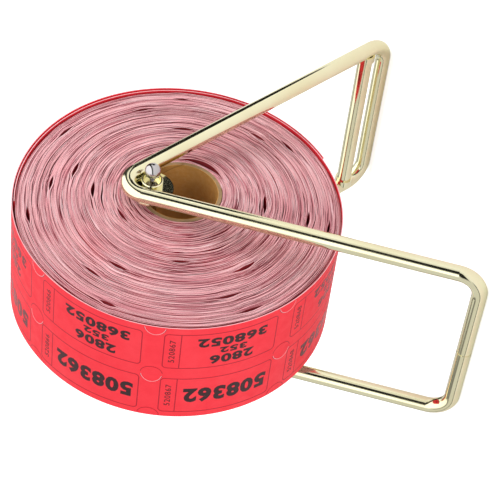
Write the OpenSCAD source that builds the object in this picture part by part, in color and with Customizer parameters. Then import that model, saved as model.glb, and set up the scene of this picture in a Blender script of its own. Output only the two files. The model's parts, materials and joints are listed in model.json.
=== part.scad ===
// Counter stand for a ticket roll: two wire V's joined by two crossbars carry a pin, and the roll
// hangs on the pin by its card core. The strip comes down the +X side and out through the slot
// between the tear bar and the crossbar beside it.
// Millimetres, +Z up, front at -Y. The origin is on the counter, at the middle of the stand.

/* [Wire frame] */
// Diameter of the round wire
wire_d = 6; // [3:0.5:7]
// Distance between the centre lines of the two crossbars
foot_span = 130.4; // [110:0.2:160]
// Height of the point where the centre lines of two legs would cross, above the crossbars
leg_height = 126.4; // [116:0.2:150]
// Distance between the centre lines of the front V and the back V
frame_depth = 77; // [72:0.5:90]
// Bend radius at the top of each V, on the centre line
top_bend_r = 6.6; // [5:0.1:9]
// Bend radius at the four feet, on the centre line
foot_bend_r = 9; // [5:0.1:12]
// Distance of the butt weld behind the middle of its crossbar
weld_offset = 2; // [-15:0.5:15]
// Length of the butt weld along the wire
weld_gap = 0.8; // [0.4:0.1:2]
// Depth of the butt weld, which is ground a little below the wire
weld_dip = 0.12; // [0.05:0.01:0.5]

/* [Tear bar] */
// Width of the slot between the tear bar and its crossbar
slot_w = 4.6; // [2:0.1:8]
// Diameter of the weld beads at the ends of the tear bar
bar_weld_d = 7.4; // [6.2:0.1:9]
// Length of the weld beads along the tear bar
bar_weld_len = 1.5; // [0.5:0.1:3]

/* [Bushes and washers] */
// Gap between each bush and the two legs beside it
bush_side_gap = 0.51; // [0.3:0.01:2]
// Outside diameter of each bush
bush_d = 8.2; // [7:0.1:8.4]
// Length of each bush outside its washer
bush_len = 4.4; // [4:0.1:8]
// Diameter of each bush where it passes through its washer
bush_spigot_d = 6.4; // [6:0.1:6.8]
// Chamfer on the outer edge of each bush
bush_chamfer = 0.3; // [0.1:0.1:0.4]
// Depth of the cup in the outer end of each bush
cup_depth = 3.2; // [1:0.1:3.4]
// Wall of the cup
cup_wall = 0.7; // [0.5:0.1:0.9]
// Diameter of each washer
washer_d = 16.6; // [15.8:0.1:20]
// Thickness of each washer
washer_t = 1.3; // [0.8:0.1:1.8]
// Length of each braze fillet along its wire
braze_len = 3.6; // [2:0.1:4]

/* [Pin] */
// Diameter of the pin
pin_d = 4.8; // [3:0.1:5.2]
// Radial clearance of the pin in each bush
pin_clearance = 0.08; // [0.03:0.01:0.1]
// Diameter of the ball on the pin
ball_d = 6.1; // [5:0.1:9]
// Distance from the end of the bush to the centre of the ball
ball_stand = 4.35; // [4.2:0.05:8]
// Diameter of the neck where it rises out of the bush
neck_d = 1.3; // [1:0.1:2.4]
// Diameter of the neck where it enters the ball
neck_top_d = 3.6; // [2.6:0.1:4]
// Length of the pin that shows past the back bush
pin_tail = 3; // [1:0.5:8]

/* [Roll] */
// Diameter of the roll where its outermost turn lies flat
roll_d = 124.6; // [90:0.2:126]
// Width of the paper strip
strip_w = 50.8; // [25:0.2:54]
// Outside diameter of the card core
core_d = 31.2; // [28:0.2:40]
// Wall of the card core
core_wall = 1.5; // [1:0.1:3]
// Distance that the core and the inner turns are pushed towards the front
roll_cone = 6.2; // [0:0.1:7]
// Thickness of the outermost turn of the strip
strip_t = 0.35; // [0.2:0.05:0.8]
// Least gap between the outermost turn and the paper under it
strip_gap = 0.1; // [0.05:0.05:0.3]
// Least gap between the loose end and the turn under it
tail_gap = 0.5; // [0.45:0.05:1]
// Widest gap that the loose end opens on the far side
tail_rise = 1; // [1:0.1:2.5]
// Distance that the outermost turn stands out past the edge of the paper under it
edge_step = 0.8; // [0:0.1:2]
// Length of the arc, in degrees, over which the strip lies on its own outermost turn
tail_arc = 156; // [40:4:200]

/* [Hidden] */

$fn = 64;
gold = [0.91, 0.84, 0.62];
silver = [0.78, 0.78, 0.82];
card = [0.66, 0.52, 0.36];
paper = [0.95, 0.27, 0.32];

wire_r = wire_d / 2;
half_span = foot_span / 2;
half_depth = frame_depth / 2;
leg_angle = atan(half_span / leg_height);
leg_len = norm([half_span, leg_height]);
apex_z = wire_r + leg_height;

// Where the straight part of a leg starts and ends, from the crossing point of its centre line
leg_start = top_bend_r / tan(leg_angle);
leg_end = leg_len - foot_bend_r;
top_bend_z = apex_z - top_bend_r / sin(leg_angle);

// How far a bend reaches over the straight lengths, in degrees, and how much thicker it is
bend_reach = 0.3;
bend_extra = 0.01;

bar_dist = leg_len - wire_d - slot_w;
bar_half = half_depth - wire_r;

// How far the tear bar is run on before its ends are shaped to the legs
bar_sink = 0.4;

// The bushes stand as high in the V as the gap beside them lets them
pin_drop = (wire_r + bush_d / 2 + bush_side_gap) / sin(leg_angle);
pin_z = apex_z - pin_drop;
washer_face_y = half_depth - wire_r;
bush_end_y = washer_face_y + bush_len;
ball_y = bush_end_y + ball_stand;

// The radius of each braze fillet, and how far its centre line lies inside the leg's centre line
// and outside the washer's face. The fillets keep clear of the bend at the top
braze_r = wire_r * 0.4;
braze_inset = braze_r * 1.2;
braze_lift = braze_r * 0.7;
braze_bend_gap = 0.1;
braze_start = max(pin_drop * cos(leg_angle) - braze_len / 2, leg_start + braze_bend_gap);

pin_back_y = bush_end_y + pin_tail;
pin_chamfer = 0.6;

// How far the neck reaches into the ball
neck_sink = 0.3;

// The pin ends at the floor of the front bush's cup. From there the neck runs on, and it widens
// from the mouth of the cup to the ball
cup_floor_y = bush_end_y - cup_depth;
neck_top_r = neck_top_d / 2;
pin_front_y = ball_y - sqrt(pow(ball_d / 2, 2) - pow(neck_top_r, 2)) + neck_sink;

core_r = core_d / 2;
core_bore_r = core_r - core_wall;
hang_gap = 0.3;
roll_z = pin_z + pin_d / 2 + hang_gap - core_bore_r;
roll_r = roll_d / 2;
core_gap = 0.05;
strip_in_r = roll_r - strip_t;
paper_r = strip_in_r - strip_gap;

// Angles round the roll, from straight down, growing towards +X. The strip starts under its own
// loose end, runs down and round the -X side, over the top and down the +X side to its end.
tail_end_angle = 15;
turn_start_angle = tail_end_angle + tail_arc;

// A round bar along Y from y0 to y1
module y_bar(r, y0, y1) {
    translate([0, y1, 0]) rotate([90, 0, 0]) cylinder(r = r, h = y1 - y0);
}

// Places a child that runs along +Z from the crossing point down one leg. side is -1 or 1
module leg_frame(side, y) {
    translate([0, y, apex_z]) rotate([0, 180 - side * leg_angle, 0]) children();
}

module leg(side, y) {
    leg_frame(side, y) translate([0, 0, leg_start]) cylinder(r = wire_r, h = leg_end - leg_start);
}

// A bend of the wire in the XY plane, from angle 0 to angle turn. It is a hair thicker than the
// straight lengths and reaches a little over them, so that the two fuse into one solid
module wire_bend(bend_r, turn) {
    rotate([0, 0, -bend_reach]) rotate_extrude(angle = turn + 2 * bend_reach)
        translate([bend_r, 0]) circle(r = wire_r + bend_extra);
}

// The bend at the top of one V
module top_bend(y) {
    translate([0, y, top_bend_z]) rotate([90, 0, 0]) rotate([0, 0, leg_angle])
        wire_bend(top_bend_r, 180 - 2 * leg_angle);
}

// The bend at one foot, from the leg into the crossbar
module foot_bend(side, end) {
    leg_frame(side, end * half_depth) translate([0, -end * foot_bend_r, leg_end])
        rotate([90, 0, 90]) rotate([0, 0, end > 0 ? 0 : 90]) wire_bend(foot_bend_r, 90);
}

module crossbar(side) {
    translate([side * half_span, 0, wire_r])
        y_bar(wire_r, -half_depth + foot_bend_r, half_depth - foot_bend_r);
}

// The whole loop, before it is cut for the butt weld
module wire_loop() {
    for (end = [-1, 1]) {
        top_bend(end * half_depth);
        for (side = [-1, 1]) {
            leg(side, end * half_depth);
            foot_bend(side, end);
        }
    }
    for (side = [-1, 1]) crossbar(side);
}

module wire_frame() {
    color(gold) difference() {
        wire_loop();
        translate([-half_span, 0, wire_r])
            y_bar(wire_d, weld_offset - weld_gap / 2, weld_offset + weld_gap / 2);
    }
}

module crossbar_weld() {
    color(gold) translate([-half_span, 0, wire_r])
        y_bar(wire_r - weld_dip, weld_offset - weld_gap / 2, weld_offset + weld_gap / 2);
}

// A length of bar at the tear bar's place, from y0 to y1
module bar_stock(r, y0, y1) {
    leg_frame(1, 0) translate([0, 0, bar_dist]) y_bar(r, y0, y1);
}

// The ends of the tear bar are shaped to the legs that they are welded to
module tear_bar() {
    color(gold) difference() {
        bar_stock(wire_r, -bar_half - bar_sink, bar_half + bar_sink);
        wire_loop();
    }
}

module tear_bar_welds() {
    color(gold) difference() {
        union() {
            bar_stock(bar_weld_d / 2, bar_half - bar_weld_len, bar_half + wire_r / 2);
            bar_stock(bar_weld_d / 2, -bar_half - wire_r / 2, bar_weld_len - bar_half);
        }
        bar_stock(wire_r, -half_depth, half_depth);
        wire_loop();
    }
}

// Pieces of the front or back bearing are drawn for the back and mirrored to the front
module at_end(end) {
    translate([0, 0, pin_z]) mirror([0, end < 0 ? 1 : 0, 0]) children();
}

module washer(end) {
    color(gold) at_end(end) difference() {
        y_bar(washer_d / 2, washer_face_y - washer_t, washer_face_y);
        y_bar(bush_spigot_d / 2, washer_face_y - 2 * washer_t, washer_face_y + washer_t);
    }
}

module bush(end) {
    bore_r = pin_d / 2 + pin_clearance;
    cup_r = bush_d / 2 - cup_wall;
    color(gold) at_end(end) translate([0, washer_face_y, 0]) rotate([-90, 0, 0]) rotate_extrude()
        polygon([[bore_r, -washer_t], [bush_spigot_d / 2, -washer_t], [bush_spigot_d / 2, 0],
                 [bush_d / 2, 0], [bush_d / 2, bush_len - bush_chamfer],
                 [bush_d / 2 - bush_chamfer, bush_len], [cup_r, bush_len],
                 [cup_r, bush_len - cup_depth], [bore_r, bush_len - cup_depth]]);
}

// Fillets in the narrow space between each wire and its washer, on the side away from the bush
module washer_brazes() {
    color(gold) for (end = [-1, 1]) for (side = [-1, 1]) difference() {
        leg_frame(side, end * half_depth)
            translate([-side * braze_inset, -end * (wire_r - braze_lift), braze_start])
                cylinder(r = braze_r, h = braze_len);
        leg(side, end * half_depth);
        at_end(end) y_bar(washer_d, 0, washer_face_y);
    }
}

module spindle_pin() {
    pin_r = pin_d / 2;
    neck_r = neck_d / 2;
    color(silver) translate([0, 0, pin_z]) rotate([90, 0, 0]) rotate_extrude()
        polygon([[0, -pin_back_y], [pin_r - pin_chamfer, -pin_back_y],
                 [pin_r, pin_chamfer - pin_back_y], [pin_r, cup_floor_y - pin_chamfer],
                 [pin_r - pin_chamfer, cup_floor_y], [neck_r, cup_floor_y],
                 [neck_r, bush_end_y - neck_r], [neck_top_r, pin_front_y], [0, pin_front_y]]);
}

module pin_ball() {
    color(silver) translate([0, -ball_y, pin_z]) difference() {
        sphere(d = ball_d);
        translate([0, ball_y - pin_front_y, 0]) rotate([-90, 0, 0])
            cylinder(r1 = neck_top_r, r2 = neck_d / 2, h = pin_front_y - bush_end_y + neck_d / 2);
    }
}

module card_core() {
    half_w = strip_w / 2;
    color(card) translate([0, -roll_cone, roll_z]) difference() {
        y_bar(core_r, -half_w, half_w);
        y_bar(core_bore_r, -strip_w, strip_w);
    }
}

module ticket_roll() {
    half_w = strip_w / 2;
    edge = half_w - edge_step;
    inner = core_r + core_gap;
    color(paper) translate([0, 0, roll_z]) rotate([90, 0, 0]) rotate_extrude()
        polygon([[inner, -half_w + roll_cone], [paper_r, -edge], [paper_r, edge],
                 [inner, half_w + roll_cone]]);
}

// A smooth step from 0 to 1 as x goes from 0 to 1
function smooth(x) = (1 - cos(180 * x)) / 2;

// The inner radius of the outermost turn at the angle a from the strip's start. It rises over the
// last climb_arc degrees of the turn and then lies over its own start, widest halfway along
climb_arc = 40;
function turn_r(a) =
    a < 360 - climb_arc ? strip_in_r :
    a < 360 ? strip_in_r + (strip_t + tail_gap) * smooth((a - 360) / climb_arc + 1) :
    strip_in_r + strip_t + tail_gap + (tail_rise - tail_gap) * smooth(2 * (a - 360) / tail_arc);

turn_step = 4;
turn_angles = [for (a = [0 : turn_step : 360 + tail_arc]) a];

// Angle round the roll for a length of strip, measured from straight down towards +X
function strip_point(r, a) =
    let (b = turn_start_angle - a) [r * sin(b), -r * cos(b)];

tail_gaps = [for (a = turn_angles) if (a >= 360) turn_r(a) - turn_r(a - 360) - strip_t];
echo(least_gap_of_strip_to_itself = min(tail_gaps));

module ticket_strip() {
    outer = [for (a = turn_angles) strip_point(turn_r(a) + strip_t, a)];
    inner = [for (i = [len(turn_angles) - 1 : -1 : 0])
        strip_point(turn_r(turn_angles[i]), turn_angles[i])];
    color(paper) translate([0, strip_w / 2, roll_z]) rotate([90, 0, 0])
        linear_extrude(height = strip_w) polygon(concat(outer, inner));
}

wire_frame();
crossbar_weld();
tear_bar();
tear_bar_welds();
washer(-1);  // front_washer
washer(1);  // back_washer
bush(-1);  // front_bush
bush(1);  // back_bush
washer_brazes();
spindle_pin();
pin_ball();
card_core();
ticket_roll();
ticket_strip();
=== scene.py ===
"""The looks of the counter ticket roll stand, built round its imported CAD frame.

Metres, +Z up, the pin's ball towards -Y, the tear bar at the +X foot. Lengths named in millimetres
are turned into metres by MM. Angles round the roll, beta, are measured from straight down and grow
towards +X.
"""

import json
import math

import bmesh
import bpy
import numpy as np
from mathutils import Matrix, Vector


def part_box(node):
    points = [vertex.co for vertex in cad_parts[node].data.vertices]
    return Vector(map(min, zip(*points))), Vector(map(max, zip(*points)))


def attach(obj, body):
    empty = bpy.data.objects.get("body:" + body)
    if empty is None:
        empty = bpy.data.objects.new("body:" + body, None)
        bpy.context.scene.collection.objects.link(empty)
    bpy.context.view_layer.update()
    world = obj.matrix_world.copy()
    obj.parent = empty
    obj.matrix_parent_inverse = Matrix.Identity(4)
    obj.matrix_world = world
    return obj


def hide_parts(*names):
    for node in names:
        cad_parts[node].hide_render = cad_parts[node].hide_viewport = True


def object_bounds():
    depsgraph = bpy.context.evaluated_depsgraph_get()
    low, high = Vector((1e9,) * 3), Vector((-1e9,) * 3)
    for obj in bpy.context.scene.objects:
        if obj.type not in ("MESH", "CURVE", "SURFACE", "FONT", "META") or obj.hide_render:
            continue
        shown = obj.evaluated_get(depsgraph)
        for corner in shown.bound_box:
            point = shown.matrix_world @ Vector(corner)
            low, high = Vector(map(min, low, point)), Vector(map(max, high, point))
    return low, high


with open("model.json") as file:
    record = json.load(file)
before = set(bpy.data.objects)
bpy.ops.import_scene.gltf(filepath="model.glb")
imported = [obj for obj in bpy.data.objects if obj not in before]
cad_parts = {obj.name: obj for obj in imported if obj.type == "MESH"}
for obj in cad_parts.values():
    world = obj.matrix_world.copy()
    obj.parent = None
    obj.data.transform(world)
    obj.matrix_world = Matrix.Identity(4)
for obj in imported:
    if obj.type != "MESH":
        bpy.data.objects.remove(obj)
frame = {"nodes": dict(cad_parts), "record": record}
CAD_BOX = [list(corner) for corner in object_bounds()]
MM = 0.001

# ---- Sizes read from the CAD frame -------------------------------------------------------------

roll_low, roll_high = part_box("ticket_roll")
core_low, core_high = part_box("card_core")
strip_low, strip_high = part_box("ticket_strip")
ROLL_Z = (roll_low.z + roll_high.z) / 2
PAPER_R = (roll_high.x - roll_low.x) / 2
CORE_R = (core_high.x - core_low.x) / 2
HALF_W = (strip_high.y - strip_low.y) / 2

# ---- The camera, fitted to the photograph's wires and ellipses ---------------------------------

CAMERA_AT = (-0.5015, -0.5667, 0.2447)
CAMERA_RIGHT = (-0.22805, -0.09443, -0.96906)
CAMERA_UP = (0.73164, -0.67331, -0.10657)
CAMERA_BACK = (-0.64241, -0.73331, 0.22263)
CAMERA_LENS = 143.1
SENSOR = 36.0


def make_camera():
    data = bpy.data.cameras.new("camera")
    data.lens = CAMERA_LENS
    data.sensor_width = SENSOR
    data.clip_end = 100
    camera = bpy.data.objects.new("camera", data)
    bpy.context.scene.collection.objects.link(camera)
    turn = Matrix((CAMERA_RIGHT, CAMERA_UP, CAMERA_BACK)).transposed().to_4x4()
    camera.matrix_world = Matrix.Translation(CAMERA_AT) @ turn
    bpy.context.scene.camera = camera


# ---- Small helpers ------------------------------------------------------------------------------

class Graph:
    """A node tree whose inputs take a number, a colour or another node's output."""

    def __init__(self, name):
        self.material = bpy.data.materials.new(name)
        self.material.use_nodes = True
        self.tree = self.material.node_tree
        self.shader = self.tree.nodes["Principled BSDF"]

    def put(self, node, **inputs):
        for key, value in inputs.items():
            socket = node.inputs[key.replace("_", " ")]
            if isinstance(value, bpy.types.NodeSocket):
                self.tree.links.new(value, socket)
            elif isinstance(value, (tuple, list)) and socket.type == "RGBA":
                socket.default_value = (*value[:3], 1)
            else:
                socket.default_value = value
        return node

    def add(self, kind, settings=None, **inputs):
        node = self.tree.nodes.new("ShaderNode" + kind)
        for key, value in (settings or {}).items():
            setattr(node, key, value)
        return self.put(node, **inputs)

    def math(self, operation, a, b=0.0):
        node = self.add("Math", {"operation": operation})
        for socket, value in zip(node.inputs, (a, b)):
            if isinstance(value, bpy.types.NodeSocket):
                self.tree.links.new(value, socket)
            else:
                socket.default_value = value
        return node.outputs[0]

    def mix(self, factor, a, b):
        node = self.add("Mix", {"data_type": "RGBA"})
        for socket, value in zip((node.inputs[0], node.inputs[6], node.inputs[7]), (factor, a, b)):
            if isinstance(value, bpy.types.NodeSocket):
                self.tree.links.new(value, socket)
            else:
                socket.default_value = value if isinstance(value, float) else (*value, 1)
        return node.outputs[2]

    def span(self, value, low, high, to_low=0.0, to_high=1.0):
        """Maps value from low..high to to_low..to_high, clamped."""
        node = self.add("MapRange", {"clamp": True}, Value=value, From_Min=low, From_Max=high,
                        To_Min=to_low, To_Max=to_high)
        return node.outputs[0]

    def noise(self, vector, scale, detail=2.0, rough=0.5):
        node = self.add("TexNoise", Vector=vector, Scale=scale, Detail=detail, Roughness=rough)
        return node.outputs["Fac"]

    def ring_noise(self, at, along, across):
        """Noise in streaks that run round the roll: long in angle, narrow in radius."""
        parts = self.add("SeparateXYZ", Vector=at)
        x = parts.outputs[0]
        z = self.math("SUBTRACT", parts.outputs[2], ROLL_Z)
        radius = self.math("SQRT", self.math("ADD", self.math("MULTIPLY", x, x),
                                             self.math("MULTIPLY", z, z)))
        turn = self.add("CombineXYZ", X=self.math("DIVIDE", x, radius),
                        Y=self.math("DIVIDE", z, radius))
        node = self.add("TexNoise", {"noise_dimensions": "4D"}, Vector=turn.outputs[0],
                        Scale=along, Detail=1.5, W=self.math("MULTIPLY", radius, across / along))
        return node.outputs["Fac"]

    def place(self):
        return self.add("TexCoord").outputs["Object"]

    def bump(self, height, strength, distance, normal=None):
        node = self.add("Bump", Height=height, Strength=strength, Distance=distance)
        if normal is not None:
            self.tree.links.new(normal, node.inputs["Normal"])
        return node.outputs[0]


def new_object(name, data):
    obj = bpy.data.objects.new(name, data)
    bpy.context.scene.collection.objects.link(obj)
    return obj


def mesh_object(name, verts, faces, material, smooth=True):
    """A mesh piece from plain lists of points and faces."""
    mesh = bpy.data.meshes.new(name)
    mesh.from_pydata([tuple(v) for v in verts], [], [tuple(f) for f in faces])
    mesh.materials.append(material)
    if smooth:
        mesh.shade_smooth()
    mesh.validate()
    mesh.update()
    return new_object(name, mesh)


def recalc_normals(obj):
    work = bmesh.new()
    work.from_mesh(obj.data)
    bmesh.ops.recalc_face_normals(work, faces=work.faces)
    work.to_mesh(obj.data)
    work.free()


def value_noise(x, seed):
    """Smooth noise from -1 to 1 along one line."""
    table = np.random.default_rng(seed).uniform(-1, 1, 4096)
    cell = np.floor(x).astype(int)
    part = x - cell
    part = part * part * (3 - 2 * part)
    return table[cell % 4096] * (1 - part) + table[(cell + 1) % 4096] * part


# ---- Materials ----------------------------------------------------------------------------------

def metal(name, colour, shade, rough, rough_far):
    """Polished metal with slight tone and polish variation and fine drawing marks."""
    g = Graph(name)
    at = g.place()
    slow = g.noise(at, 45.0, 3.0)
    fine = g.noise(at, 900.0, 4.0, 0.6)
    g.put(g.shader, Base_Color=g.mix(g.span(slow, 0.35, 0.7), colour, shade), Metallic=1.0,
          Roughness=g.span(g.math("ADD", slow, g.math("MULTIPLY", fine, 0.5)), 0.5, 1.0,
                           rough, rough_far),
          Normal=g.bump(fine, 0.012, 0.0002))
    return g.material


def card_material():
    """Brown card tube: spiral seam, fibres, and plies at its ends."""
    g = Graph("core_card")
    at = g.place()
    parts = g.add("SeparateXYZ", Vector=at)
    x, y = parts.outputs[0], parts.outputs[1]
    z = g.math("SUBTRACT", parts.outputs[2], ROLL_Z)
    turn = g.math("DIVIDE", g.math("ARCTAN2", x, z), 2 * math.pi)
    seam = g.math("FRACT", g.math("ADD", turn, g.math("DIVIDE", y, SEAM_PITCH * MM)))
    seam_line = g.span(g.math("ABSOLUTE", g.math("SUBTRACT", seam, 0.5)), 0.0, 0.012, 1.0, 0.0)
    radius = g.math("SQRT", g.math("ADD", g.math("MULTIPLY", x, x), g.math("MULTIPLY", z, z)))
    ply = g.math("SINE", g.math("MULTIPLY", radius, 2 * math.pi / (PLY_STEP * MM)))
    fibre = g.noise(at, 700.0, 5.0, 0.65)
    cloud = g.noise(at, 60.0, 3.0)
    # The bore is browner than the cut rim
    rim = g.span(radius, CORE_R - CARD_WALL, CORE_R - CARD_WALL + CARD_FADE)
    tone = g.mix(rim, CARD_BORE, CARD_RIM)
    tone = g.mix(g.math("MULTIPLY", g.span(fibre, 0.3, 0.75), 0.45), tone, CARD_LIGHT)
    tone = g.mix(g.math("MULTIPLY", g.span(cloud, 0.4, 0.7), 0.35), tone, CARD_DARK)
    tone = g.mix(g.math("MULTIPLY", g.span(ply, -0.2, 0.9), g.math("MULTIPLY", rim, 0.35)),
                 tone, CARD_DARK)
    tone = g.mix(g.math("MULTIPLY", seam_line, 0.6), tone, CARD_DARK)
    height = g.math("SUBTRACT", g.math("ADD", fibre, g.math("MULTIPLY", ply, 0.3)), seam_line)
    g.put(g.shader, Base_Color=tone, Roughness=0.85, Specular_IOR_Level=0.2,
          Normal=g.bump(height, 0.5, 0.0002))
    return g.material


def edge_material():
    """Cut edges of the paper: each turn has its own tone, which changes slowly along it. The
    darkest thin streaks round the roll are painted shade of fine gaps between turns.
    """
    g = Graph("cut_paper_edges")
    at = g.place()
    along = g.add("UVMap", {"uv_map": "winding"}).outputs[0]
    turn_tone = g.noise(along, 5.0, 3.0, 0.7)
    streak = g.noise(along, 19.0, 2.0, 0.6)
    cloud = g.noise(at, 38.0, 3.0, 0.55)
    speck = g.noise(at, 2400.0, 3.0, 0.6)
    broad = g.ring_noise(at, 1.6, 420.0)
    lines = g.ring_noise(at, 1.7, 1700.0)
    # Painted shade: thin near-black streaks round the roll stand for the shade in fine gaps between
    # turns
    gap_shade_lines = g.ring_noise(at, 2.6, 3000.0)
    sparks = g.ring_noise(at, 3.5, 2300.0)
    tone = g.mix(g.span(turn_tone, 0.35, 0.65), EDGE_PINK, EDGE_PALE)
    layers = [(broad, 0.48, 0.72, 0.5, EDGE_ROSE), (cloud, 0.5, 0.8, 0.4, EDGE_ROSE),
              (sparks, 0.55, 0.68, 0.7, EDGE_WHITE), (lines, 0.55, 0.66, 0.8, EDGE_MAUVE),
              (gap_shade_lines, 0.585, 0.66, 0.95, EDGE_GAP_SHADE), (speck, 0.55, 0.8, 0.2, EDGE_MAUVE)]
    for pattern, low, high, amount, colour in layers:
        tone = g.mix(g.math("MULTIPLY", g.span(pattern, low, high), amount), tone, colour)
    g.put(g.shader, Base_Color=tone, Roughness=0.8, Specular_IOR_Level=0.15,
          Normal=g.bump(g.math("ADD", speck, streak), 0.3, 0.0001))
    return g.material


def paper_material(name, colour, deep, pale):
    """Uncoated dyed paper: fibres, a slight cockle across the strip and a mottled dye."""
    g = Graph(name)
    at = g.place()
    fibre = g.noise(at, 1800.0, 5.0, 0.65)
    mottle = g.noise(at, 220.0, 4.0, 0.6)
    cloud = g.noise(g.add("Mapping", Vector=at, Scale=(1.0, 0.25, 1.0)).outputs[0], 55.0, 2.0)
    tone = g.mix(g.math("MULTIPLY", g.span(mottle, 0.4, 0.75), 0.35), colour, deep)
    tone = g.mix(g.math("MULTIPLY", g.span(cloud, 0.5, 0.8), 0.3), tone, pale)
    tone = g.mix(g.math("MULTIPLY", g.span(fibre, 0.6, 0.85), 0.25), tone, pale)
    bend = g.bump(cloud, 0.25, 0.0012)
    g.put(g.shader, Base_Color=tone, Roughness=g.span(mottle, 0.3, 0.8, 0.5, 0.68),
          Specular_IOR_Level=0.3, Normal=g.bump(fibre, 0.25, 0.0001, bend))
    return g.material


def ink_material(name, colour, worn):
    """Printing ink that lets a little of the paper through."""
    g = Graph(name)
    at = g.place()
    grain = g.noise(at, 2600.0, 4.0, 0.7)
    wear = g.noise(at, 300.0, 3.0, 0.6)
    amount = g.math("MULTIPLY", g.span(grain, 0.5, 0.8), g.span(wear, 0.35, 0.7, 0.25, 0.8))
    g.put(g.shader, Base_Color=g.mix(amount, colour, worn),
          Roughness=g.span(wear, 0.3, 0.7, 0.4, 0.6),
          Specular_IOR_Level=0.2, Sheen_Weight=INK_SHEEN, Sheen_Roughness=0.3,
          Sheen_Tint=SHEEN_TINT, Normal=g.bump(grain, 0.2, 0.00005))
    return g.material


def floor_material():
    """A pale floor that stays white to the camera and to metal but keeps the object's shadow."""
    g = Graph("floor_white")
    at = g.place()
    cloud = g.noise(at, 3.0, 3.0)
    path = g.add("LightPath")
    mirrored = g.math("MAXIMUM", path.outputs["Is Transmission Ray"], path.outputs["Is Glossy Ray"])
    glow = g.math("MAXIMUM", g.math("MULTIPLY", path.outputs["Is Camera Ray"], FLOOR_GLOW),
                  g.math("MULTIPLY", mirrored, FLOOR_MIRRORED))
    g.put(g.shader, Base_Color=g.mix(cloud, FLOOR_A, FLOOR_B), Roughness=0.9,
          Specular_IOR_Level=0.0, Emission_Color=(1, 1, 1), Emission_Strength=glow)
    return g.material


# Colours are linear
GOLD = (0.87, 0.83, 0.57)
GOLD_SHADE = (0.83, 0.775, 0.50)
SILVER = (0.58, 0.55, 0.55)
SILVER_SHADE = (0.44, 0.42, 0.42)
CARD_BORE = (0.56, 0.27, 0.065)
CARD_RIM = (0.30, 0.215, 0.13)
CARD_LIGHT = (0.72, 0.44, 0.17)
CARD_DARK = (0.20, 0.10, 0.03)
EDGE_PINK = (0.88, 0.42, 0.45)
EDGE_ROSE = (0.76, 0.26, 0.30)
EDGE_MAUVE = (0.58, 0.17, 0.21)
EDGE_PALE = (0.94, 0.56, 0.58)
EDGE_WHITE = (0.95, 0.72, 0.74)
EDGE_CUT = (0.86, 0.42, 0.45)
# Painted shade of the fine gaps between turns on the roll's face
EDGE_GAP_SHADE = (0.18, 0.014, 0.028)
PAPER_RED = (0.90, 0.032, 0.050)
PAPER_DEEP = (0.80, 0.020, 0.036)
PAPER_PALE = (0.95, 0.11, 0.13)
# Painted shade: the wound paper's broad faces, seen only in the gaps between turns, are the same
# red paper darkened to stand for the shade there
INSIDE_RED_PAINTED_SHADE = (0.17, 0.004, 0.009)
INSIDE_DEEP_PAINTED_SHADE = (0.08, 0.002, 0.005)
INK = (0.022, 0.014, 0.016)
INK_WORN = (0.20, 0.02, 0.03)
# Line ink, also used for the painted shade line along each notch cut
LINE_INK_AND_CUT_SHADE = (0.38, 0.010, 0.024)
INK_SHEEN = 1.0
SHEEN_TINT = (1.0, 0.30, 0.32)
FLOOR_A = (0.78, 0.78, 0.78)
FLOOR_B = (0.82, 0.82, 0.82)
FLOOR_GLOW = 0.62
FLOOR_MIRRORED = 0.12
FLOOR_REACH = 30.0
FLOOR_DROP = 0.00003
SEAM_PITCH = 40.0
PLY_STEP = 0.36
CARD_WALL = 1.45 * MM
CARD_FADE = 0.25 * MM

# ---- The wound paper ----------------------------------------------------------------------------

TURNS = 150
TURN_STEPS = 150
PAPER_T = 0.25
CORE_GAP = 0.05
RIM_STEP = 0.8
CONE = 6.2

# Gaps between turns that the photograph shows on the front face: radius in mm and beta in degrees
FRONT_GAPS = [
    (49.1, 161.0), (41.8, 150.7), (32.8, 166.1), (57.3, 178.0), (24.9, -162.6), (42.0, -134.4),
    (49.5, -142.0), (57.5, -128.5), (49.7, -81.2), (57.3, -75.4), (33.2, -102.0), (41.2, -66.5),
    (32.1, -16.2), (48.9, -19.8), (56.9, -21.8), (56.8, 77.2), (51.1, 95.0), (37.2, 76.4),
    (47.3, 38.4), (53.5, 25.8), (56.8, 129.8)]
CORE_SIDE_GAP = (17.7, 46.4)
GAP_OPEN = 1.35
GAP_HALF = 7.0
GAP_REACH = 6.0
TAIL_OUT = 0.75
SMALL_REACH = 1.3
SMALL_GAPS = 520
SET_BACK = 1.4
SET_BACK_ZONE = 1.4
EDGE_FACING = 0.7
JITTER = 0.018
JITTER_RATE = 5
JITTER_SEED = 3


def gap_list(r0, pitch):
    """Rows of radius, beta, half angle and width, each set midway between two turns."""
    draw = np.random.default_rng(11)
    rows = [(*CORE_SIDE_GAP, 32.0, 2.1)]
    for r, b in FRONT_GAPS:
        half = GAP_HALF * 40 / max(r, 25) * draw.uniform(0.8, 1.2)
        rows.append((r, b, half, GAP_OPEN * draw.uniform(0.8, 1.15)))
        way = draw.choice((-1, 1))
        for side in (-1, 1):
            rows.append((r + side * TAIL_OUT, b + way * half * draw.uniform(0.9, 1.5),
                         half * draw.uniform(0.8, 1.3), draw.uniform(0.25, 0.4)))
    for _ in range(SMALL_GAPS):
        r = draw.uniform(19, 61)
        rows.append((r, draw.uniform(-180, 180), draw.uniform(5, 18) * 40 / r,
                     draw.uniform(0.12, 0.34)))
    snapped = []
    for r, b, half, width in rows:
        part = (b % 360) / 360
        whole = round((r - r0) / pitch - part - 0.5)
        snapped.append((r0 + pitch * (whole + part + 0.5), b, half, width))
    return snapped


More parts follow.
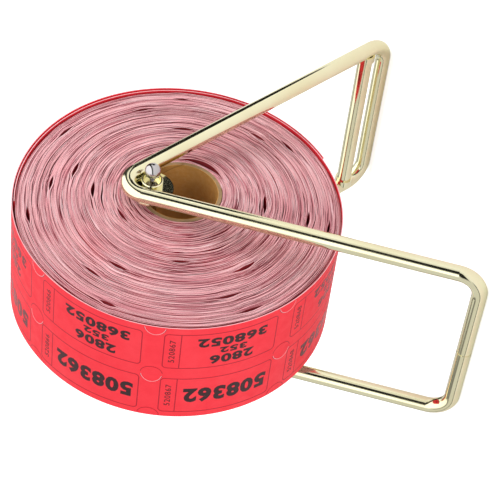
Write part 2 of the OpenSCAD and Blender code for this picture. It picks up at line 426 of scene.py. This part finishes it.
def radial_shift(radius, beta, gaps):
    """How far each point of the winding is pushed out or in by the gaps near it, in mm."""
    shift = np.zeros_like(radius)
    for r, b, half, width in gaps:
        away = (beta - b + 180) % 360 - 180
        lens = np.clip(1 - (away / half) ** 2, 0, None) ** 1.5
        near = np.exp(-np.abs(radius - r) / (GAP_REACH if width > 0.4 else SMALL_REACH))
        shift += np.where(radius > r, 1, -1) * width / 2 * lens * near
    return shift


def wound_paper(edge, red):
    """One strip wound from the core to the rim, with every modelled turn a separate layer. Its
    broad faces take the second material, a darkened copy of the red paper that paints the shade in
    the gaps between turns.
    """
    r0 = CORE_R / MM + CORE_GAP
    r1 = PAPER_R / MM
    pitch = (r1 - r0 - PAPER_T) / TURNS
    steps = TURNS * TURN_STEPS
    turn = np.arange(steps + 1) / TURN_STEPS
    beta = turn * 360 % 360
    base = r0 + pitch * turn
    inner = (base + radial_shift(base, beta, gap_list(r0, pitch))
             + JITTER * value_noise(turn * JITTER_RATE, JITTER_SEED))
    inner = np.clip(inner, r0, r1 - PAPER_T)
    outer = inner + PAPER_T
    share = (base - r0) / (r1 - r0)
    wander = (0.20 * value_noise(turn * 6.3, 5) + 0.13 * value_noise(turn * 1.7 + 9, 6)
              + 0.22 * value_noise(base / 0.9, 7))
    half = HALF_W / MM
    front = -half - CONE + share * (CONE + RIM_STEP) + wander
    front += SET_BACK * np.clip(1 - (r1 - base) / SET_BACK_ZONE, 0, 1)
    back = half - CONE + share * (CONE - RIM_STEP) + wander
    bend = np.radians(beta)
    rings = []
    for radius, y in ((inner, front), (outer, front), (outer, back), (inner, back)):
        rings.append(np.stack([radius * np.sin(bend), y, ROLL_Z / MM - radius * np.cos(bend)], 1))
    verts = np.stack(rings, 1).reshape(-1, 3) * MM
    quads, uvs, kinds = [], [], []
    first = np.arange(steps) * 4
    for side in range(4):
        other = (side + 1) % 4
        quads.append(np.stack([first + side, first + other, first + 4 + other,
                               first + 4 + side], 1))
        cross = np.array([side, side + 1, side + 1, side]) * 0.013
        run = np.stack([turn[:-1], turn[:-1], turn[1:], turn[1:]], 1)
        uvs.append(np.stack([run, np.broadcast_to(cross, run.shape)], 2))
        kinds.append(np.full(steps, 0 if side in (0, 2) else 1))
    last = steps * 4
    quads.append(np.array([[3, 2, 1, 0], [last, last + 1, last + 2, last + 3]]))
    uvs.append(np.zeros((2, 4, 2)))
    kinds.append(np.array([0, 0]))
    faces = np.concatenate(quads)
    mesh = bpy.data.meshes.new("wound_paper")
    mesh.vertices.add(len(verts))
    mesh.vertices.foreach_set("co", verts.ravel())
    mesh.loops.add(faces.size)
    mesh.loops.foreach_set("vertex_index", faces.ravel())
    mesh.polygons.add(len(faces))
    mesh.polygons.foreach_set("loop_start", np.arange(len(faces)) * 4)
    mesh.materials.append(edge)
    mesh.materials.append(red)
    mesh.polygons.foreach_set("material_index", np.concatenate(kinds))
    mesh.update(calc_edges=True)
    layer = mesh.uv_layers.new(name="winding")
    layer.data.foreach_set("uv", np.concatenate(uvs).ravel())
    piece = new_object("wound_paper", mesh)
    recalc_normals(piece)
    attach(piece, "roll")
    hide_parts("ticket_roll")


# ---- The outermost turn -------------------------------------------------------------------------

# The same run as the CAD strip: a is the angle from the strip's start, beta = START - a
START = 171.0
TAIL_ARC = 156.0
CLIMB = 40.0
IN_R = 61.95
BAND_T = 0.35
TAIL_GAP = 0.5
TAIL_RISE = 1.0
BAND_STEP = 1.5
WIDTH_STEPS = 12


def band_radius(a):
    """Inner radius of the outermost turn in mm."""
    a = np.asarray(a, float)
    climb = (1 - np.cos(np.radians(180 * np.clip((a - 360) / CLIMB + 1, 0, 1)))) / 2
    over = (1 - np.cos(np.radians(360 * np.clip(a - 360, 0, None) / TAIL_ARC))) / 2
    return IN_R + (BAND_T + TAIL_GAP) * climb + (TAIL_RISE - TAIL_GAP) * over


BAND_A = np.arange(0, 360 + TAIL_ARC + 0.01, 0.5)
BAND_ARC = np.concatenate([[0], np.cumsum(np.radians(0.5) * (band_radius(BAND_A)[1:] + BAND_T))])


def on_band(points):
    """Points given as arc along the strip, y across it and lift off its outer face, all in mm."""
    points = np.asarray(points, float).reshape(-1, 3)
    a = np.interp(points[:, 0], BAND_ARC, BAND_A)
    radius = band_radius(a) + BAND_T + points[:, 2]
    bend = np.radians(START - a)
    return np.stack([radius * np.sin(bend), points[:, 1], ROLL_Z / MM - radius * np.cos(bend)],
                    1) * MM


def ticket_band(red, cut):
    a = np.arange(0, 360 + TAIL_ARC + 0.01, BAND_STEP)
    arc = np.interp(a, BAND_A, BAND_ARC)
    across = np.linspace(-HALF_W, HALF_W, WIDTH_STEPS + 1) / MM
    grid_arc, grid_y = np.meshgrid(arc, across, indexing="ij")
    flat = np.stack([grid_arc.ravel(), grid_y.ravel(), np.zeros(grid_arc.size)], 1)
    top = on_band(flat)
    flat[:, 2] = -BAND_T
    verts = np.concatenate([top, on_band(flat)])
    m, n = grid_arc.shape
    faces = sheet_faces(m, n)
    piece = mesh_object("ticket_band", verts, faces, red)
    piece.data.materials.append(cut)
    recalc_normals(piece)
    for face in piece.data.polygons:
        face.material_index = 1 if abs(face.normal.y) > EDGE_FACING else 0
    hard_edges(piece)
    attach(piece, "roll")
    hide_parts("ticket_strip")


def sheet_faces(m, n):
    """Faces of a closed thin sheet: a grid of m by n points on top and the same below."""
    faces = []
    low = m * n
    for i in range(m - 1):
        for j in range(n - 1):
            a, b, c, d = i * n + j, (i + 1) * n + j, (i + 1) * n + j + 1, i * n + j + 1
            faces.append((a, b, c, d))
            faces.append((d + low, c + low, b + low, a + low))
    ring = ([i * n for i in range(m)] + [(m - 1) * n + j for j in range(1, n)]
            + [i * n + n - 1 for i in range(m - 2, -1, -1)] + [j for j in range(n - 2, 0, -1)])
    for a, b in zip(ring, ring[1:] + ring[:1]):
        faces.append((a, a + low, b + low, b))
    return faces


def hard_edges(obj, angle=35):
    """Smooth faces with sharp edges where the faces turn by more than the angle."""
    obj.data.shade_smooth()
    obj.data.set_sharp_from_angle(angle=math.radians(angle))


# ---- Print and notches on the outermost turn ----------------------------------------------------

TICKET = 51.8
STRIP_END = BAND_ARC[-1]
FRAME_RIGHT = 4.4
FRAME_LEFT = 3.7
COLUMN = 6.1
ROWS = {"front": (-22.0, -3.2), "back": (3.0, 22.4)}
CORNER = 1.6
LINE_W = 0.36
INK_T = 0.03
INK_SINK = 0.01
CUT_STEP = 2.0

# Plain numerals of one ticket: text, distance past the frame's right side, y, width, height, bold
WORDS = [("508362", 2.0, 8.6, 33.0, 8.4, 0.05), ("2806", 9.5, -9.8, 17.0, 4.9, 0.045),
         ("352", 12.5, -13.9, 10.5, 3.2, 0.045), ("368052", 4.5, -19.7, 27.0, 5.0, 0.045)]
FIRST_SERIAL = 520862
SERIAL_S = 1.9
SERIAL_W = 12.4
SERIAL_H = 2.2

# Half-moon cuts: y of the straight side, the way the round side faces, and how far it stands up
NOTCH_R = 4.0
NOTCH_SWEEP = 1.42
NOTCH_T = 0.1
FLAP_BASE = 0.02
NOTCHES = [(-HALF_W / MM + 0.05, 1, 0.30), (1.25, 1, 0.34), (1.15, -1, 0.08),
           (HALF_W / MM - 0.05, -1, 0.05)]
LEAST_LIP = 0.1
LIP_IN = 0.1
LIP_W = 0.2
# Painted shade line along each cut: how far it lies outside the round edge, and its width
CUT_SHADE_OUT = 0.13
CUT_SHADE_W = 0.22


def ribbon(points, width, closed, raised=0.0):
    """A flat line along a path, as a closed thin solid in strip coordinates: print lines, notch
    lips, and the painted shade line along each notch cut.
    """
    points = np.asarray(points, float)
    raised = np.broadcast_to(raised, len(points))
    ahead = np.roll(points, -1, 0)
    behind = np.roll(points, 1, 0)
    if not closed:
        ahead[-1], behind[0] = points[-1], points[0]
    run = ahead - behind
    run /= np.linalg.norm(run, axis=1)[:, None]
    off = np.stack([-run[:, 1], run[:, 0]], 1) * width / 2
    rows = []
    for flat, lift in ((points + off, INK_T), (points - off, INK_T),
                       (points - off, -INK_SINK), (points + off, -INK_SINK)):
        rows.append(np.column_stack([flat, raised + lift]))
    verts = np.stack(rows, 1).reshape(-1, 3)
    faces = []
    count = len(points)
    for i in range(count if closed else count - 1):
        a, b = i * 4, (i + 1) % count * 4
        for side in range(4):
            other = (side + 1) % 4
            faces.append((a + side, a + other, b + other, b + side))
    if not closed:
        end = (count - 1) * 4
        faces += [(3, 2, 1, 0), (end, end + 1, end + 2, end + 3)]
    return verts, faces


def rounded_frame(s0, s1, y0, y1):
    """Centre line of a rectangle with round corners, with points close enough to bend."""
    corners = [(s1 - CORNER, y1 - CORNER, 0), (s0 + CORNER, y1 - CORNER, 90),
               (s0 + CORNER, y0 + CORNER, 180), (s1 - CORNER, y0 + CORNER, 270)]
    path = []
    for s, y, start in corners:
        for step in range(7):
            turn = math.radians(start + 15 * step)
            path.append((s + CORNER * math.cos(turn), y + CORNER * math.sin(turn)))
    full = []
    for (ax, ay), (bx, by) in zip(path, path[1:] + path[:1]):
        parts = max(1, math.ceil(math.hypot(bx - ax, by - ay) / CUT_STEP))
        full += [(ax + (bx - ax) * k / parts, ay + (by - ay) * k / parts) for k in range(parts)]
    return full


def straight(s, y0, y1):
    return [(s, y) for y in np.linspace(y0, y1, 11)]


def numerals(text, bold):
    """Plain numerals as a thin solid, scaled to one unit high and wide, standing on the origin."""
    curve = bpy.data.curves.new("numerals", "FONT")
    curve.body = text
    curve.size = 1.0
    curve.offset = bold
    curve.resolution_u = 3
    curve.space_character = 1.12
    obj = new_object("numerals", curve)
    bpy.context.view_layer.update()
    mesh = bpy.data.meshes.new_from_object(obj.evaluated_get(bpy.context.evaluated_depsgraph_get()))
    work = bmesh.new()
    work.from_mesh(mesh)
    bmesh.ops.remove_doubles(work, verts=work.verts, dist=1e-4)
    low = Vector([min(v.co[k] for v in work.verts) for k in range(3)])
    high = Vector([max(v.co[k] for v in work.verts) for k in range(3)])
    for vert in work.verts:
        vert.co = Vector(((vert.co.x - low.x) / (high.x - low.x),
                          (vert.co.y - low.y) / (high.y - low.y), 0))
    bpy.data.objects.remove(obj)
    bpy.data.curves.remove(curve)
    bpy.data.meshes.remove(mesh)
    return work


def printed(text, s, y, width, height, bold, upright=True):
    """Numerals in strip coordinates. They read along the strip, or across it if not upright."""
    work = numerals(text, bold)
    for vert in work.verts:
        u, v = vert.co.x * width, vert.co.y * height
        vert.co = Vector((s + u, y + v, 0)) if upright else Vector((s + v, y - u, 0))
    reach = width if upright else height
    for k in range(1, math.ceil(reach / CUT_STEP)):
        bmesh.ops.bisect_plane(work, geom=work.verts[:] + work.edges[:] + work.faces[:],
                               plane_co=(s + k * CUT_STEP, 0, 0), plane_no=(1, 0, 0))
    top = bmesh.ops.extrude_face_region(work, geom=work.faces[:])
    for item in top["geom"]:
        if isinstance(item, bmesh.types.BMVert):
            item.co.z = INK_T
    for vert in work.verts:
        if vert.co.z < INK_T / 2:
            vert.co.z = -INK_SINK
    work.verts.index_update()
    verts = [tuple(v.co) for v in work.verts]
    faces = [tuple(v.index for v in f.verts) for f in work.faces]
    work.free()
    return np.array(verts), faces


def gather(parts, shift=0.0):
    """Joins (verts, faces) parts into one, moved along the strip."""
    verts, faces, count = [], [], 0
    for points, polygons in parts:
        verts.append(np.asarray(points) + (shift, 0, 0))
        faces += [tuple(i + count for i in polygon) for polygon in polygons]
        count += len(points)
    return np.concatenate(verts), faces


def band_piece(name, verts, faces, material):
    piece = mesh_object(name, on_band(verts), faces, material, smooth=False)
    recalc_normals(piece)
    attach(piece, "roll")
    return piece


def tickets(ink, line_ink_and_cut_shade, red, cut):
    """Two rows of framed tickets with plain numerals, and the half-moon cuts between tickets. A
    dark ribbon in the line ink just outside each half-moon arc is painted shade of the cut.
    """
    column_s = TICKET - FRAME_LEFT - COLUMN
    lines, words = [], []
    for y0, y1 in ROWS.values():
        lines.append(ribbon(rounded_frame(FRAME_RIGHT, TICKET - FRAME_LEFT, y0, y1), LINE_W, True))
        lines.append(ribbon(straight(column_s, y0, y1), LINE_W, False))
    for text, s, y, width, height, bold in WORDS:
        words.append(printed(text, FRAME_RIGHT + s, y, width, height, bold))
    print_lines_and_cut_shade, word_parts, flap_parts, lip_parts = [], [], [], []
    for k in range(math.ceil(STRIP_END / TICKET)):
        start = STRIP_END - (k + 1) * TICKET
        if start < 0:
            break
        for part in lines:
            print_lines_and_cut_shade.append(gather([part], start))
        for part in words:
            word_parts.append(gather([part], start))
        for y0, y1 in ROWS.values():
            word_parts.append(printed(str(FIRST_SERIAL + k), start + column_s + SERIAL_S,
                                      (y0 + y1) / 2 + SERIAL_W / 2, SERIAL_W, SERIAL_H, 0.0,
                                      upright=False))
        for y, way, lip in NOTCHES:
            flap_parts.append(flap(start, y, way, lip))
            turns = np.linspace(-NOTCH_SWEEP, NOTCH_SWEEP, 23)
            raised = FLAP_BASE + lip * np.cos(turns) ** 2
            if lip > LEAST_LIP:
                lip_parts.append(ribbon(arc_path(start, y, NOTCH_R - LIP_IN, way, turns), LIP_W,
                                        False, raised))
            # Painted shade: a dark ribbon in the line ink just outside the arc stands for the
            # shadowed slit of the cut
            print_lines_and_cut_shade.append(ribbon(arc_path(start, y, NOTCH_R + CUT_SHADE_OUT, way, turns), CUT_SHADE_W,
                                     False))
    band_piece("ticket_lines_and_cut_shade", *gather(print_lines_and_cut_shade), line_ink_and_cut_shade)
    band_piece("ticket_numerals", *gather(word_parts), ink)
    band_piece("ticket_notches", *gather(flap_parts), red)
    band_piece("notch_lips", *gather(lip_parts), cut)


def arc_path(s, y, r, way, turns):
    return [(s + r * math.sin(t), y + way * r * math.cos(t)) for t in turns]


def flap(s, y, way, lip):
    """A half-moon tongue cut in the strip, whose round edge stands up a little."""
    m, n = 15, 5
    points = []
    for i in range(m):
        p = -1 + 2 * i / (m - 1)
        depth = max(NOTCH_R * math.sqrt(max(0.0, 1 - p * p)), 0.3)
        for j in range(n):
            q = j / (n - 1)
            lift = FLAP_BASE + lip * (depth * q / NOTCH_R) ** 2
            points.append((s + NOTCH_R * p, y + way * depth * q, lift))
    top = np.array(points)
    low = top - (0, 0, NOTCH_T)
    return np.concatenate([top, low]), sheet_faces(m, n)


# ---- Studio -------------------------------------------------------------------------------------

def make_floor():
    z = CAD_BOX[0][2] - FLOOR_DROP
    verts = [(x * FLOOR_REACH, y * FLOOR_REACH, z)
             for x, y in ((-1, -1), (1, -1), (1, 1), (-1, 1))]
    floor = mesh_object("floor", verts, [(0, 1, 2, 3)], floor_material())


def dark_card(name, corners):
    """A black card that only polished metal sees, as photographers use to draw its edges."""
    g = Graph(name)
    soft = g.noise(g.place(), 8.0, 2.0)
    g.put(g.shader, Base_Color=g.mix(soft, (0.01, 0.01, 0.01), (0.02, 0.02, 0.018)),
          Roughness=1.0, Specular_IOR_Level=0.0)
    card = mesh_object(name, corners, [tuple(range(len(corners)))], g.material)
    card.visible_camera = False
    card.visible_diffuse = False
    card.visible_shadow = False
    card.visible_transmission = False


def area_light(name, at, target, size, power):
    data = bpy.data.lights.new(name, "AREA")
    data.shape = "DISK"
    data.size = size
    data.energy = power
    lamp = new_object(name, data)
    lamp.location = at
    lamp.visible_glossy = False
    lamp.rotation_euler = (Vector(target) - Vector(at)).to_track_quat("-Z", "Y").to_euler()


def make_world():
    """White to the camera, plain light on the object, and a banded studio for polished metal."""
    world = bpy.data.worlds.new("studio")
    bpy.context.scene.world = world
    world.use_nodes = True
    tree = world.node_tree
    tree.nodes.clear()

    def node(kind, *links):
        new = tree.nodes.new("ShaderNode" + kind)
        for k, value in enumerate(links):
            if isinstance(value, bpy.types.NodeSocket):
                tree.links.new(value, new.inputs[k])
            elif value is not None:
                new.inputs[k].default_value = value
        return new

    def bands(height, stops):
        ramp = node("ValToRGB", height)
        points = ramp.color_ramp.elements
        for sine, level in stops:
            points.new((sine + 1) / 2).color = (level, level, level, 1)
        points.remove(points[0])
        points.remove(points[-1])
        return ramp.outputs[0]

    def share(value, low, high):
        return node("MapRange", value, low, high, 0.0, 1.0).outputs[0]

    def mixed(factor, a, b):
        new = tree.nodes.new("ShaderNodeMix")
        new.data_type = "RGBA"
        for socket, value in zip((new.inputs[0], new.inputs[6], new.inputs[7]), (factor, a, b)):
            tree.links.new(value, socket)
        return new.outputs[2]

    place = node("TexCoord").outputs["Generated"]
    parts = node("SeparateXYZ", place)
    half = node("Math", parts.outputs[2], 0.5, 0.5)
    half.operation = "MULTIPLY_ADD"
    height = half.outputs[0]
    sky = mixed(share(parts.outputs[1], 0.0, 0.3), bands(height, FRONT_BANDS),
                bands(height, BACK_BANDS))
    sky = mixed(share(parts.outputs[0], 0.8, 0.9), sky, bands(height, SIDE_BANDS))
    gloss = node("Background", sky, SKY_GLOSS)
    lit = node("Background", (1, 1, 1, 1), WORLD_LEVEL)
    shown = node("Background", (1, 1, 1, 1), 1.0)
    path = node("LightPath")
    off_camera = node("MixShader", path.outputs["Is Glossy Ray"], lit.outputs[0], gloss.outputs[0])
    all_rays = node("MixShader", path.outputs["Is Camera Ray"], off_camera.outputs[0],
                    shown.outputs[0])
    node("OutputWorld", all_rays.outputs[0])


# Brightness of the reflected studio by the sine of the height above the horizon
FRONT_BANDS = [(-0.9, 0.54), (0.14, 0.54), (0.19, 0.01), (0.38, 0.01), (0.44, 1.0), (0.9, 1.0)]
BACK_BANDS = [(-0.9, 0.54), (-0.05, 0.03), (0.06, 0.03), (0.11, 0.42), (0.54, 0.42),
              (0.59, 0.13), (0.65, 0.13), (0.70, 0.75), (0.9, 0.9)]
SIDE_BANDS = [(-0.9, 0.03), (0.42, 0.03), (0.52, 0.6), (0.9, 0.9)]
SKY_GLOSS = 1.7
WORLD_LEVEL = 0.80

LIT_POINT = (0, 0, 0.07)
LIGHTS = [("key", (0.9, -1.3, 1.1), 1.2, 17), ("fill", (-1.5, -0.7, 0.5), 1.0, 9)]
CARD_LIFT = 0.003
CARD_OUTLINE = [(0.15, -0.12), (0.5, -0.12), (3.5, 0.05), (6.0, 0.3), (6.0, -3.0), (1.1, -0.9),
                (0.6, -0.66), (0.25, -0.46), (0.21, -0.3)]


def make_studio():
    make_floor()
    make_world()
    for name, at, size, power in LIGHTS:
        area_light(name, at, LIT_POINT, size, power)
    bpy.context.scene.view_settings.view_transform = "Standard"
    dark_card("edge_card", [(x, y, CARD_LIFT) for x, y in CARD_OUTLINE])


# ---- Putting it together ------------------------------------------------------------------------

def dress_frame():
    gold = metal("brass_plate", GOLD, GOLD_SHADE, 0.06, 0.13)
    chrome = metal("polished_chrome", SILVER, SILVER_SHADE, 0.04, 0.09)
    card = card_material()
    finish = {"gold_wire": gold, "silver": chrome, "card": card}
    for row in frame["record"]["subparts"]:
        material = finish.get(row["material_slot"])
        if material:
            mesh = frame["nodes"][row["node"]].data
            mesh.materials.clear()
            mesh.materials.append(material)


def main():
    make_camera()
    make_studio()
    dress_frame()
    red = paper_material("ticket_paper", PAPER_RED, PAPER_DEEP, PAPER_PALE)
    edge = edge_material()
    # The inner faces get a darkened red paper: painted shade in the gaps between turns
    wound_paper(edge, paper_material("inner_paper_painted_shade", INSIDE_RED_PAINTED_SHADE, INSIDE_DEEP_PAINTED_SHADE, PAPER_DEEP))
    cut = paper_material("cut_edge", EDGE_CUT, EDGE_ROSE, EDGE_PALE)
    ticket_band(red, cut)
    # The line ink also draws the painted shade line along the notch cuts
    tickets(ink_material("black_ink", INK, INK_WORN),
            ink_material("line_ink_and_cut_shade", LINE_INK_AND_CUT_SHADE, PAPER_DEEP), red, cut)


main()
